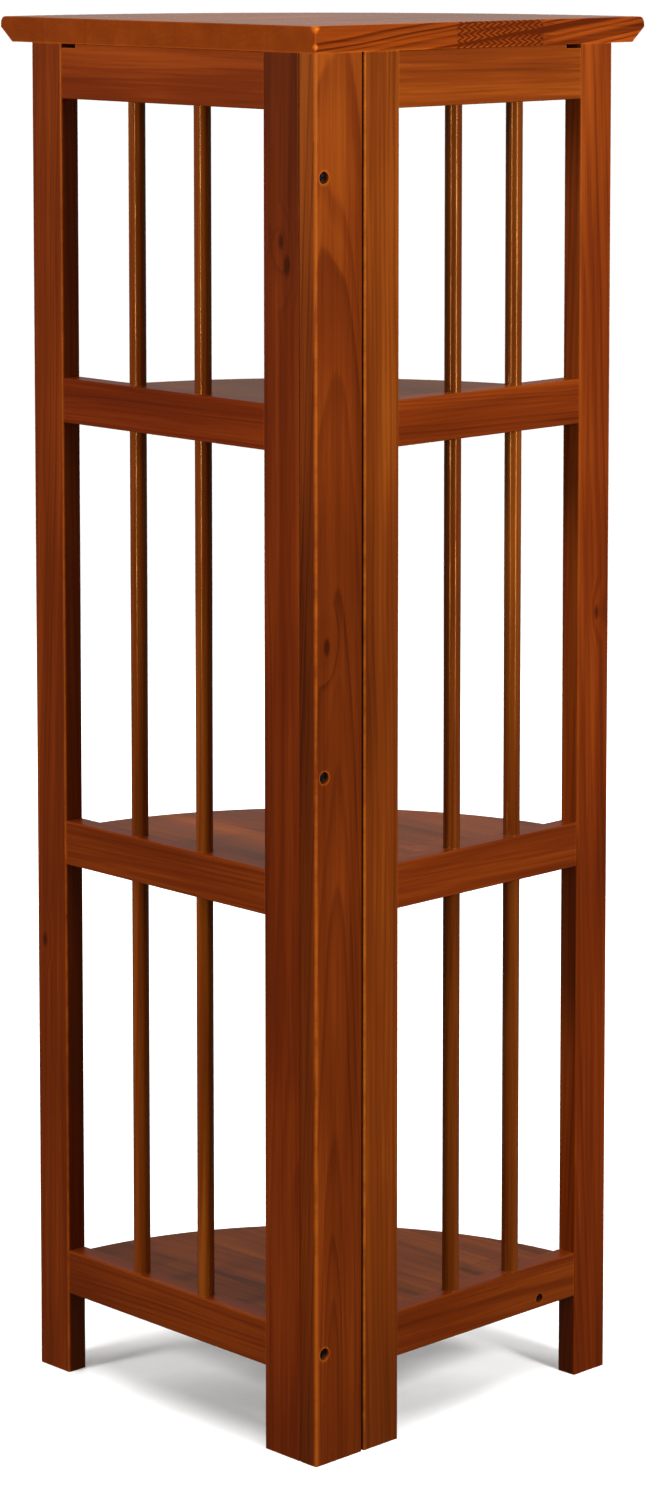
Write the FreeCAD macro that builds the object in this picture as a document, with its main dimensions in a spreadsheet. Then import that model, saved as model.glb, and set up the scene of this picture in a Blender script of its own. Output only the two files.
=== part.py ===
import FreeCAD, Part
import os
import Sketcher

# Corner folding bookcase. Two slatted wing panels stand at a right angle and
# meet at a corner board. Quarter-round shelves are hinged to the left wing and
# flip up against it, a quarter-round top lifts off two pairs of pegs, and the
# right wing hangs on butt hinges at the corner board.
#
# Frame: +Z up, floor at z = 0. The outer rear corner of the two wings is at
# (-top_r/2, -top_r/2), the left wing runs along +Y and the right wing along +X.

V = FreeCAD.Vector
Rot = FreeCAD.Rotation

doc = FreeCAD.newDocument("folding_bookcase")
sheet = doc.addObject("Spreadsheet::Sheet", "Sheet")

CELLS = [
    # wings
    ("thick", 16.0), ("wing_w", 292.0), ("frame_h", 968.0),
    ("stile_w", 32.0), ("left_rear_w", 35.0), ("corner_w", 42.6),
    ("set_back", 0.6), ("ease", 1.2),
    ("rail_h", 32.0), ("head_rail_h", 39.0),
    ("rail_low", 59.0), ("rail_mid", 377.0), ("rail_up", 698.0), ("rail_head", 929.0),
    # spindles
    ("spindle_rad", 6.0), ("tenon_rad", 4.5), ("tenon_len", 9.0),
    ("spindle_left_a", 120.6), ("spindle_left_b", 188.5),
    ("spindle_right_a", 139.6), ("spindle_right_b", 200.3),
    # rail dowels and top pegs
    ("dowel_rad", 3.95), ("dowel_len", 29.6), ("dowel_in", 8.0),
    ("peg_rad", 4.0), ("peg_len", 25.0), ("peg_out", 9.0),
    ("peg_left_a", 90.0), ("peg_left_b", 222.0),
    ("peg_right_a", 112.0), ("peg_right_b", 230.0),
    ("bore_gap", 0.05), ("lift_gap", 0.3),
    # shelves
    ("shelf_r", 282.0), ("shelf_t", 12.0), ("shelf_drop", 10.5),
    ("shelf_gap_x", 4.4), ("shelf_gap_y", 4.5), ("shelf_round", 3.0),
    # cleats under the shelves on the right wing
    ("cleat_w", 14.0), ("cleat_len", 154.0), ("cleat_start", 92.0),
    # top
    ("top_r", 326.0), ("top_t", 18.0), ("top_cove_w", 12.5), ("top_cove_h", 10.5),
    ("top_edge_h", 2.5), ("top_ease", 5.0),
    # shallow relief in the head rails beside the front stiles
    ("notch_len", 15.0), ("notch_deep", 3.0),
    # butt hinges
    ("hinge_len", 40.0), ("leaf_t", 1.0), ("knuckle_rad", 1.8), ("pin_rad", 0.9),
    ("hinge_half", 2.2), ("pin_up", 2.0), ("leaf_far", 13.5), ("leaf_near", 2.3),
    ("knuckle_end", 13.0), ("knuckle_gap", 0.3), ("screw_off", 13.0),
    ("shelf_hinge_a", 95.0), ("shelf_hinge_b", 215.0),
    ("seam_in", 1.3), ("mortise_gap", 0.2),
    ("corner_hinge_a", 130.0), ("corner_hinge_b", 520.0), ("corner_hinge_c", 830.0),
    # small hinge screws
    ("hs_head", 2.4), ("hs_rad", 1.2), ("hs_len", 8.0),
    # wood screws in the cleats
    ("cs_head", 3.2), ("cs_rad", 1.5), ("cs_len", 22.0), ("cs_sink", 2.0),
    # long screws in the corner board, and the one in the right lower rail
    ("ls_head", 4.0), ("ls_head_h", 3.0), ("ls_rad", 2.4), ("ls_len", 28.0),
    ("ls_sink", 6.2), ("ls_in", 8.0), ("ls_low", 78.0), ("ls_mid", 479.0), ("ls_up", 885.0),
    ("lock_head", 3.3), ("lock_head_h", 2.5), ("lock_rad", 1.5), ("lock_len", 20.0),
    ("lock_sink", 5.0), ("lock_along", 223.6), ("lock_up", 7.0),
    ("slot_w", 1.1), ("slot_depth", 1.4),
]
VAL = {}
for i, (name, value) in enumerate(CELLS):
    cell = "B%d" % (i + 1)
    sheet.set("A%d" % (i + 1), name)
    sheet.set(cell, repr(value))
    sheet.setAlias(cell, name)
    VAL[name] = value
doc.recompute()


def q(text):
    """A formula over sheet names, as an expression: 'thick + stile_w'."""
    out = []
    word = ""
    for ch in text + " ":
        if ch.isalnum() or ch == "_":
            word += ch
        else:
            if word:
                out.append("Sheet." + word if word in VAL else word)
                word = ""
            out.append(ch)
    return "".join(out).strip()


def at(obj, x, y, z, rot=None):
    """Place an object; x and y are measured from the outer rear corner."""
    obj.Placement = FreeCAD.Placement(V(0, 0, 0), rot or Rot())
    obj.setExpression("Placement.Base.x", q("(%s) - top_r / 2" % x))
    obj.setExpression("Placement.Base.y", q("(%s) - top_r / 2" % y))
    obj.setExpression("Placement.Base.z", q(z))
    return obj


TURN = {
    "+z": Rot(),
    "-z": Rot(V(1, 0, 0), 180),
    "+x": Rot(V(0, 1, 0), 90),
    "-x": Rot(V(0, 1, 0), -90),
    "+y": Rot(V(1, 0, 0), -90),
    "-y": Rot(V(1, 0, 0), 90),
}
count = [0]


def fresh(prefix):
    count[0] += 1
    return "%s_%03d" % (prefix, count[0])


def cyl(rad, length, x, y, z, way):
    c = doc.addObject("Part::Cylinder", fresh("bore"))
    c.setExpression("Radius", q(rad))
    c.setExpression("Height", q(length))
    return at(c, x, y, z, TURN[way])


def copy_of(master, x, y, z, rot):
    """Another piece of the same make, at its own place."""
    k = doc.addObject("App::Link", fresh("copy"))
    k.LinkedObject = master
    return at(k, x, y, z, rot)


def group(label, items):
    g = doc.addObject("Part::Compound", fresh("group"))
    g.Links = items
    g.Label = label
    return g


def bored(label, blank, tools):
    if not tools:
        blank.Label = label
        return blank
    k = doc.addObject("Part::Cut", fresh("bored"))
    k.Base = blank
    k.Tool = tools[0] if len(tools) == 1 else group(label + "_bores", tools)
    k.Label = label
    return k


def plane(body, role):
    for f in body.Origin.OriginFeatures:
        if f.Role == role:
            return f


def new_sketch(body, role, name):
    s = body.newObject("Sketcher::SketchObject", name)
    s.AttachmentSupport = [(plane(body, role), "")]
    s.MapMode = "FlatFace"
    return s


def stick(label, width, depth, length):
    """A planed stick: rectangle, pad, and the four long edges eased."""
    body = doc.addObject("PartDesign::Body", fresh("stick"))
    body.Label = label + "_blank"
    s = new_sketch(body, "XY_Plane", fresh("section"))
    w, d = 20.0, 10.0
    pts = [V(0, 0, 0), V(w, 0, 0), V(w, d, 0), V(0, d, 0)]
    for i in range(4):
        s.addGeometry(Part.LineSegment(pts[i], pts[(i + 1) % 4]), False)
    for i in range(4):
        s.addConstraint(Sketcher.Constraint("Coincident", i, 2, (i + 1) % 4, 1))
    s.addConstraint(Sketcher.Constraint("Horizontal", 0))
    s.addConstraint(Sketcher.Constraint("Horizontal", 2))
    s.addConstraint(Sketcher.Constraint("Vertical", 1))
    s.addConstraint(Sketcher.Constraint("Vertical", 3))
    s.addConstraint(Sketcher.Constraint("Coincident", 0, 1, -1, 1))
    k = s.addConstraint(Sketcher.Constraint("DistanceX", 0, 1, 0, 2, w))
    s.renameConstraint(k, "wide")
    k = s.addConstraint(Sketcher.Constraint("DistanceY", 1, 1, 1, 2, d))
    s.renameConstraint(k, "deep")
    s.setExpression("Constraints.wide", q(width))
    s.setExpression("Constraints.deep", q(depth))
    pad = body.newObject("PartDesign::Pad", fresh("pad"))
    pad.Profile = s
    pad.setExpression("Length", q(length))
    doc.recompute()
    names = []
    for i, e in enumerate(pad.Shape.Edges):
        a, b = e.Vertexes[0].Point, e.Vertexes[-1].Point
        if abs(a.x - b.x) < 1e-6 and abs(a.y - b.y) < 1e-6:
            names.append("Edge%d" % (i + 1))
    f = body.newObject("PartDesign::Fillet", fresh("eased"))
    f.Base = (pad, names)
    f.setExpression("Radius", q("ease"))
    doc.recompute()
    body.Tip = f
    return body


def spun(label, points):
    """A turned piece: a profile of (radius, height) spun about its own axis."""
    body = doc.addObject("PartDesign::Body", fresh("turned"))
    body.Label = label
    s = new_sketch(body, "XZ_Plane", fresh("profile"))
    n = len(points)
    pts = []
    for r, h in points:
        pts.append(V(value_of(r), value_of(h), 0))
    for i in range(n):
        s.addGeometry(Part.LineSegment(pts[i], pts[(i + 1) % n]), False)
    for i in range(n):
        s.addConstraint(Sketcher.Constraint("Coincident", i, 2, (i + 1) % n, 1))
    for i, (r, h) in enumerate(points):
        if r == "0":
            s.addConstraint(Sketcher.Constraint("PointOnObject", i, 1, -2))
        else:
            k = s.addConstraint(Sketcher.Constraint("DistanceX", -1, 1, i, 1, pts[i].x))
            s.renameConstraint(k, "rad_%d" % i)
            s.setExpression("Constraints.rad_%d" % i, q(r))
        if h == "0":
            s.addConstraint(Sketcher.Constraint("PointOnObject", i, 1, -1))
        else:
            k = s.addConstraint(Sketcher.Constraint("DistanceY", -1, 1, i, 1, pts[i].y))
            s.renameConstraint(k, "high_%d" % i)
            s.setExpression("Constraints.high_%d" % i, q(h))
    rev = body.newObject("PartDesign::Revolution", fresh("spin"))
    rev.Profile = s
    rev.ReferenceAxis = (s, ["V_Axis"])
    rev.Angle = 360.0
    doc.recompute()
    return body


probe = doc.addObject("App::FeaturePython", "probe")
probe.addProperty("App::PropertyFloat", "value")


def value_of(text):
    """The present value of a formula over sheet names."""
    probe.setExpression("value", q(text))
    doc.recompute()
    return float(probe.value)


NODES = []


def node(obj):
    NODES.append(obj)
    return obj


# ---------------------------------------------------------------- levels
LEVELS = [("lower", "rail_low"), ("middle", "rail_mid"), ("upper", "rail_up")]
BAYS = [("lower", "(rail_low + rail_h)", "rail_mid"),
        ("middle", "(rail_mid + rail_h)", "rail_up"),
        ("upper", "(rail_up + rail_h)", "rail_head")]
RAILS = [("lower", "rail_low", "rail_h"), ("middle", "rail_mid", "rail_h"),
         ("upper", "rail_up", "rail_h"), ("head", "rail_head", "head_rail_h")]


def shelf_top(rail):
    return "%s + rail_h - shelf_drop" % rail


RAIL_MID = "(set_back + thick) / 2"          # middle of a rail's thickness
LEFT_RAIL_A = "thick + left_rear_w"           # left rails run from here ...
LEFT_RAIL_B = "wing_w - stile_w"              # ... to here
RIGHT_STILE = "corner_w + 2 * hinge_half"     # seat of the leaves on the right wing
RIGHT_RAIL_A = RIGHT_STILE + " + stile_w"
RIGHT_RAIL_B = "wing_w - stile_w"
LEFT_SPINDLES = ["spindle_left_a", "spindle_left_b"]
RIGHT_SPINDLES = ["spindle_right_a", "spindle_right_b"]
CORNER_HINGES = ["corner_hinge_a", "corner_hinge_b", "corner_hinge_c"]
SHELF_HINGES = ["shelf_hinge_a", "shelf_hinge_b"]

# ---------------------------------------------------------------- masters
dowel_m = doc.addObject("Part::Cylinder", "dowel_master")
dowel_m.setExpression("Radius", q("dowel_rad"))
dowel_m.setExpression("Height", q("dowel_len"))
peg_m = spun("peg_master", [("0", "0"), ("peg_rad", "0"),
                            ("peg_rad", "peg_len - 1.5"), ("peg_rad - 1.2", "peg_len"),
                            ("0", "peg_len")])
pin_m = spun("hinge_pin_master", [("0", "0"), ("pin_rad", "0"), ("pin_rad", "hinge_len"),
                                  ("0", "hinge_len")])
hinge_screw_m = spun("hinge_screw_master", [
    ("0", "0"), ("hs_head", "0"), ("hs_rad", "leaf_t"), ("hs_rad", "leaf_t + hs_len - 2"),
    ("0.3", "leaf_t + hs_len"), ("0", "leaf_t + hs_len")])
cleat_screw_m = spun("cleat_screw_master", [
    ("0", "0"), ("cs_head", "0"), ("cs_rad", "cs_sink"), ("cs_rad", "cs_len - 3"),
    ("0.3", "cs_len"), ("0", "cs_len")])


def cross_head(name, head, head_h, rad, length):
    """A screw with a flat cylinder head and a cross recess, head face at z = 0."""
    blank = spun(name + "_blank", [
        ("0", "0"), ("%s - 0.5" % head, "0"), (head, "0.5"), (head, head_h), (rad, head_h),
        (rad, "%s + %s - 3" % (head_h, length)), ("0.4", "%s + %s" % (head_h, length)),
        ("0", "%s + %s" % (head_h, length))])
    slots = []
    for turn in (0, 90):
        b = doc.addObject("Part::Box", fresh("slot"))
        b.setExpression("Length", q("1.3 * %s" % head))
        b.setExpression("Width", q("slot_w"))
        b.setExpression("Height", q("slot_depth + 1"))
        b.Placement = FreeCAD.Placement(V(0, 0, 0), Rot(V(0, 0, 1), turn))
        if turn == 0:
            b.setExpression("Placement.Base.x", q("-0.65 * %s" % head))
            b.setExpression("Placement.Base.y", q("-slot_w / 2"))
        else:
            b.setExpression("Placement.Base.x", q("slot_w / 2"))
            b.setExpression("Placement.Base.y", q("-0.65 * %s" % head))
        b.Placement.Base.z = -1.0
        slots.append(b)
    cross = doc.addObject("Part::MultiFuse", fresh("cross"))
    cross.Shapes = slots
    k = doc.addObject("Part::Cut", name)
    k.Base = blank
    k.Tool = cross
    return k


corner_screw_m = cross_head("corner_screw_master", "ls_head", "ls_head_h", "ls_rad", "ls_len")
lock_screw_m = cross_head("lock_screw_master", "lock_head", "lock_head_h", "lock_rad", "lock_len")


def leaf_master(name, side, spans):
    """One leaf of a butt hinge, pin along its own z axis and plate towards -y."""
    parts = []

    def slab(x, y0, y1, z0, z1):
        b = doc.addObject("Part::Box", fresh("slab"))
        b.setExpression("Length", q("leaf_t"))
        b.setExpression("Width", q("(%s) - (%s)" % (y1, y0)))
        b.setExpression("Height", q("(%s) - (%s)" % (z1, z0)))
        b.setExpression("Placement.Base.x", q(x))
        b.setExpression("Placement.Base.y", q(y0))
        b.setExpression("Placement.Base.z", q(z0))
        return b

    x = "-hinge_half" if side < 0 else "hinge_half - leaf_t"
    parts.append(slab(x, "-leaf_far", "-leaf_near", "0", "hinge_len"))
    for z0, z1 in spans:
        parts.append(slab(x, "-leaf_near", "0", z0, z1))
        c = doc.addObject("Part::Cylinder", fresh("knuckle"))
        c.setExpression("Radius", q("knuckle_rad"))
        c.setExpression("Height", q("(%s) - (%s)" % (z1, z0)))
        c.setExpression("Placement.Base.z", q(z0))
        parts.append(c)
    whole = doc.addObject("Part::MultiFuse", fresh("leaf"))
    whole.Shapes = parts
    tools = []
    c = doc.addObject("Part::Cylinder", fresh("eye"))
    c.setExpression("Radius", q("pin_rad + bore_gap"))
    c.setExpression("Height", q("hinge_len + 2"))
    c.Placement.Base.z = -1.0
    tools.append(c)
    for sign in ("-", "+"):
        k = doc.addObject("Part::Cone", fresh("sink"))
        k.setExpression("Radius1", q("hs_head + bore_gap"))
        k.setExpression("Radius2", q("hs_rad + bore_gap"))
        k.setExpression("Height", q("leaf_t"))
        way = "-x" if side < 0 else "+x"
        k.Placement = FreeCAD.Placement(V(0, 0, 0), TURN[way])
        k.setExpression("Placement.Base.x",
                        q("-hinge_half + leaf_t" if side < 0 else "hinge_half - leaf_t"))
        k.setExpression("Placement.Base.y", q("-(leaf_far + leaf_near) / 2"))
        k.setExpression("Placement.Base.z", q("hinge_len / 2 %s screw_off" % sign))
        tools.append(k)
    cut = doc.addObject("Part::Cut", name)
    cut.Base = whole
    cut.Tool = group(name + "_holes", tools)
    return cut


fixed_leaf_m = leaf_master("fixed_leaf_master", -1, [
    ("0", "knuckle_end"), ("hinge_len - knuckle_end", "hinge_len")])
moving_leaf_m = leaf_master("moving_leaf_master", +1, [
    ("knuckle_end + knuckle_gap", "hinge_len - knuckle_end - knuckle_gap")])
doc.recompute()

SHELF_HINGE_TURN = Rot(V(1, 0, 0), 90)        # pin along -Y, plates hang down


def shelf_pin_z(rail):
    return shelf_top(rail) + " + pin_up"


SHELF_PIN_X = "thick + hinge_half"
CORNER_PIN_X = "corner_w + hinge_half"
CORNER_PIN_Y = "thick + pin_up"
SCREW_DOWN = "(leaf_far + leaf_near) / 2"

# ---------------------------------------------------------------- left wing
left_stile_tools = {"rear": [], "front": []}
right_stile_tools = {"rear": [], "front": []}
left_dowels, right_dowels = [], []
left_rail_tools = dict((n, []) for n, z, h in RAILS)
right_rail_tools = dict((n, []) for n, z, h in RAILS)

for name, z, high in RAILS:
    for level in ("%s + dowel_in" % z, "%s + %s - dowel_in" % (z, high)):
        for end, along in (("rear", LEFT_RAIL_A), ("front", LEFT_RAIL_B)):
            start = "%s - dowel_len / 2" % along
            left_dowels.append(copy_of(dowel_m, RAIL_MID, start, level, TURN["+y"]))
            bore = ("dowel_rad + bore_gap", "dowel_len / 2 + 0.2 + 1")
            inner, outer = ("+y", "-y") if end == "rear" else ("-y", "+y")
            shift = "- 1" if inner == "+y" else "+ 1"
            back = "+ 1" if inner == "+y" else "- 1"
            left_rail_tools[name].append(
                cyl(bore[0], bore[1], RAIL_MID, "%s %s" % (along, shift), level, inner))
            left_stile_tools[end].append(
                cyl(bore[0], bore[1], RAIL_MID, "%s %s" % (along, back), level, outer))
        for end, along in (("rear", RIGHT_RAIL_A), ("front", RIGHT_RAIL_B)):
            start = "%s - dowel_len / 2" % along
            right_dowels.append(copy_of(dowel_m, start, RAIL_MID, level, TURN["+x"]))
            bore = ("dowel_rad + bore_gap", "dowel_len / 2 + 0.2 + 1")
            inner, outer = ("+x", "-x") if end == "rear" else ("-x", "+x")
            shift = "- 1" if inner == "+x" else "+ 1"
            back = "+ 1" if inner == "+x" else "- 1"
            right_rail_tools[name].append(
                cyl(bore[0], bore[1], "%s %s" % (along, shift), RAIL_MID, level, inner))
            right_stile_tools[end].append(
                cyl(bore[0], bore[1], "%s %s" % (along, back), RAIL_MID, level, outer))

# sockets for the spindle tenons
for bay, z0, z1 in BAYS:
    above = {"lower": "middle", "middle": "upper", "upper": "head"}[bay]
    for s in LEFT_SPINDLES:
        left_rail_tools[bay].append(cyl("tenon_rad + bore_gap", "tenon_len + 0.3 + 1",
                                        RAIL_MID, s, z0 + " + 1", "-z"))
        left_rail_tools[above].append(cyl("tenon_rad + bore_gap", "tenon_len + 0.3 + 1",
                                          RAIL_MID, s, z1 + " - 1", "+z"))
    for s in RIGHT_SPINDLES:
        right_rail_tools[bay].append(cyl("tenon_rad + bore_gap", "tenon_len + 0.3 + 1",
                                         s, RAIL_MID, z0 + " + 1", "-z"))
        right_rail_tools[above].append(cyl("tenon_rad + bore_gap", "tenon_len + 0.3 + 1",
                                           s, RAIL_MID, z1 + " - 1", "+z"))

# sockets for the pegs that the top drops onto
pegs = []
PEG_Z = "frame_h + peg_out - peg_len"
for s in ("peg_left_a", "peg_left_b"):
    pegs.append(copy_of(peg_m, RAIL_MID, s, PEG_Z, TURN["+z"]))
    left_rail_tools["head"].append(cyl("peg_rad + bore_gap", "peg_len - peg_out + 1",
                                       RAIL_MID, s, "frame_h + 1", "-z"))
for s in ("peg_right_a", "peg_right_b"):
    pegs.append(copy_of(peg_m, s, RAIL_MID, PEG_Z, TURN["+z"]))
    right_rail_tools["head"].append(cyl("peg_rad + bore_gap", "peg_len - peg_out + 1",
                                        s, RAIL_MID, "frame_h + 1", "-z"))

# relief at the front end of each head rail, under the top
for tools, along, x, y in (
        (left_rail_tools["head"], "Width", "set_back - 1", "%s - notch_len" % LEFT_RAIL_B),
        (right_rail_tools["head"], "Length", "%s - notch_len" % RIGHT_RAIL_B, "set_back - 1")):
    b = doc.addObject("Part::Box", fresh("notch"))
    b.setExpression("Length", q("notch_len + 1" if along == "Length" else "thick + 2"))
    b.setExpression("Width", q("notch_len + 1" if along == "Width" else "thick + 2"))
    b.setExpression("Height", q("notch_deep + 1"))
    tools.append(at(b, x, y, "frame_h - notch_deep"))

# pilot holes of the shelf hinges in the left rails
rail_hinge_screws = []
for name, rail in LEVELS:
    z = shelf_pin_z(rail) + " - " + SCREW_DOWN
    for s in SHELF_HINGES:
        for sign in ("-", "+"):
            y = "%s %s screw_off" % (s, sign)
            left_rail_tools[name].append(
                cyl("hs_rad + bore_gap", "hs_len + 0.3 + 1", "thick + 1", y, z, "-x"))
            rail_hinge_screws.append(
                copy_of(hinge_screw_m, "thick + leaf_t", y, z, TURN["-x"]))

# pilot holes of the cleat screws and the screw through the right lower rail
cleat_screws = []
CLEAT_H = "rail_h - shelf_drop - shelf_t"
CLEAT_SPOTS = {"lower": ["cleat_start + 22"],
               "middle": ["cleat_start + 22", "cleat_start + cleat_len - 22"],
               "upper": ["cleat_start + 22", "cleat_start + cleat_len - 22"]}
cleat_tools = {"lower": [], "middle": [], "upper": []}
for name, rail in LEVELS:
    z = "%s + (%s) / 2" % (rail, CLEAT_H)
    for s in CLEAT_SPOTS[name]:
        cleat_screws.append(copy_of(cleat_screw_m, s, "thick + cleat_w", z, TURN["-y"]))
        right_rail_tools[name].append(
            cyl("cs_rad + bore_gap", "cs_len - cleat_w + 0.3 + 1", s, "thick + 1", z, "-y"))
        cleat_tools[name].append(
            cyl("cs_rad + bore_gap", "cleat_w + 2", s, "thick + cleat_w + 1", z, "-y"))
        k = doc.addObject("Part::Cone", fresh("sink"))
        k.setExpression("Radius1", q("cs_head + bore_gap"))
        k.setExpression("Radius2", q("cs_rad + bore_gap"))
        k.setExpression("Height", q("cs_sink"))
        at(k, s, "thick + cleat_w", z, TURN["-y"])
        cleat_tools[name].append(k)
LOCK_Z = "rail_low + lock_up"
right_rail_tools["lower"].append(cyl("lock_head + 0.2", "lock_sink + 1", "lock_along",
                                     "set_back - 1", LOCK_Z, "+y"))
right_rail_tools["lower"].append(cyl("lock_rad + bore_gap", "thick + 2", "lock_along",
                                     "set_back - 1", LOCK_Z, "+y"))
cleat_tools["lower"].append(cyl("lock_rad + bore_gap",
                                "lock_len + lock_sink + set_back - thick + 0.3 + 1",
                                "lock_along", "thick - 1", LOCK_Z, "+y"))
lock_screw = copy_of(lock_screw_m, "lock_along", "set_back + lock_sink - lock_head_h",
                     LOCK_Z, TURN["+y"])

# long screws through the corner board into the edge of the left rear stile
corner_tools = []
corner_screws = []
for z in ("ls_low", "ls_mid", "ls_up"):
    corner_tools.append(cyl("ls_head + 0.25", "ls_sink + 1", "ls_in", "-1", z, "+y"))
    corner_tools.append(cyl("ls_rad + bore_gap", "thick + 2", "ls_in", "-1", z, "+y"))
    left_stile_tools["rear"].append(
        cyl("ls_rad + bore_gap", "ls_len + ls_sink - thick + 0.3 + 1", "ls_in",
            "thick - 1", z, "+y"))
    corner_screws.append(copy_of(corner_screw_m, "ls_in", "ls_sink - ls_head_h", z, TURN["+y"]))

# pilot holes of the corner hinges
corner_fixed, corner_moving, corner_pins, corner_hinge_screws = [], [], [], []
for z in CORNER_HINGES:
    corner_fixed.append(copy_of(fixed_leaf_m, CORNER_PIN_X, CORNER_PIN_Y, z, Rot()))
    corner_moving.append(copy_of(moving_leaf_m, CORNER_PIN_X, CORNER_PIN_Y, z, Rot()))
    corner_pins.append(copy_of(pin_m, CORNER_PIN_X, CORNER_PIN_Y, z, Rot()))
    y = CORNER_PIN_Y + " - " + SCREW_DOWN
    for sign in ("-", "+"):
        level = "%s + hinge_len / 2 %s screw_off" % (z, sign)
        corner_tools.append(cyl("hs_rad + bore_gap", "hs_len + 0.3 + 1",
                                "corner_w + 1", y, level, "-x"))
        right_stile_tools["rear"].append(cyl("hs_rad + bore_gap", "hs_len + 0.3 + 1",
                                             RIGHT_STILE + " - 1", y, level, "+x"))
        corner_hinge_screws.append(copy_of(hinge_screw_m, "corner_w + leaf_t", y, level,
                                           TURN["-x"]))
        corner_hinge_screws.append(copy_of(hinge_screw_m, RIGHT_STILE + " - leaf_t", y,
                                           level, TURN["+x"]))
    # the leaves are let into the two edges, so the seam is narrower than the hinge
    for tools, x in ((corner_tools, "corner_w"),
                     (right_stile_tools["rear"], RIGHT_STILE + " - seam_in - 1")):
        b = doc.addObject("Part::Box", fresh("mortise"))
        b.setExpression("Length", q("seam_in + 1"))
        b.setExpression("Width", q("leaf_far - pin_up + mortise_gap + 1"))
        b.setExpression("Height", q("hinge_len + 2 * mortise_gap"))
        tools.append(at(b, x, CORNER_PIN_Y + " - leaf_far - mortise_gap", z + " - mortise_gap"))

# ---------------------------------------------------------------- sticks
blank = at(stick("corner_board", "corner_w + seam_in", "thick", "frame_h"), "0", "0", "0")
node(bored("corner_board", blank, corner_tools))
blank = at(stick("left_rear_stile", "thick", "left_rear_w", "frame_h"), "0", "thick", "0")
node(bored("left_rear_stile", blank, left_stile_tools["rear"]))
blank = at(stick("left_front_stile", "thick", "stile_w", "frame_h"), "0", LEFT_RAIL_B, "0")
node(bored("left_front_stile", blank, left_stile_tools["front"]))
blank = at(stick("right_rear_stile", "stile_w + seam_in", "thick", "frame_h"),
           RIGHT_STILE + " - seam_in", "0", "0")
node(bored("right_rear_stile", blank, right_stile_tools["rear"]))
blank = at(stick("right_front_stile", "stile_w", "thick", "frame_h"), RIGHT_RAIL_B, "0", "0")
node(bored("right_front_stile", blank, right_stile_tools["front"]))

for name, z, high in RAILS:
    blank = stick("left_%s_rail" % name, "thick - set_back", high,
                  "%s - (%s)" % (LEFT_RAIL_B, LEFT_RAIL_A))
    at(blank, "set_back", LEFT_RAIL_A, "%s + %s" % (z, high), TURN["+y"])
    node(bored("left_%s_rail" % name, blank, left_rail_tools[name]))
    blank = stick("right_%s_rail" % name, high, "thick - set_back",
                  "%s - (%s)" % (RIGHT_RAIL_B, RIGHT_RAIL_A))
    at(blank, RIGHT_RAIL_A, "set_back", "%s + %s" % (z, high), TURN["+x"])
    node(bored("right_%s_rail" % name, blank, right_rail_tools[name]))

node(group("left_rail_dowels", left_dowels))
node(group("right_rail_dowels", right_dowels))

# ---------------------------------------------------------------- spindles
for bay, z0, z1 in BAYS:
    span = "%s - %s" % (z1, z0)
    m = spun("spindle_master_" + bay, [
        ("0", "0"), ("tenon_rad", "0"), ("tenon_rad", "tenon_len"), ("spindle_rad", "tenon_len"),
        ("spindle_rad", "tenon_len + %s" % span), ("tenon_rad", "tenon_len + %s" % span),
        ("tenon_rad", "2 * tenon_len + %s" % span), ("0", "2 * tenon_len + %s" % span)])
    z = z0 + " - tenon_len"
    node(group("left_%s_spindles" % bay,
               [copy_of(m, RAIL_MID, s, z, Rot()) for s in LEFT_SPINDLES]))
    node(group("right_%s_spindles" % bay,
               [copy_of(m, s, RAIL_MID, z, Rot()) for s in RIGHT_SPINDLES]))

# ---------------------------------------------------------------- corner hardware
node(group("corner_screws", corner_screws))
node(group("corner_hinge_board_leaves", corner_fixed))
node(group("corner_hinge_wing_leaves", corner_moving))
node(group("corner_hinge_pins", corner_pins))
node(group("corner_hinge_screws", corner_hinge_screws))

# ---------------------------------------------------------------- cleats
for name, rail in LEVELS:
    b = doc.addObject("Part::Box", fresh("cleat"))
    b.setExpression("Length", q("cleat_len"))
    b.setExpression("Width", q("cleat_w"))
    b.setExpression("Height", q(CLEAT_H))
    at(b, "cleat_start", "thick", rail)
    node(bored("right_%s_cleat" % name, b, cleat_tools[name]))
node(group("cleat_screws", cleat_screws))
node(group("lower_rail_screw", [lock_screw]))

# ---------------------------------------------------------------- shelves
SHELF_X = "thick + shelf_gap_x"
SHELF_Y = "thick + shelf_gap_y"


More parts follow.
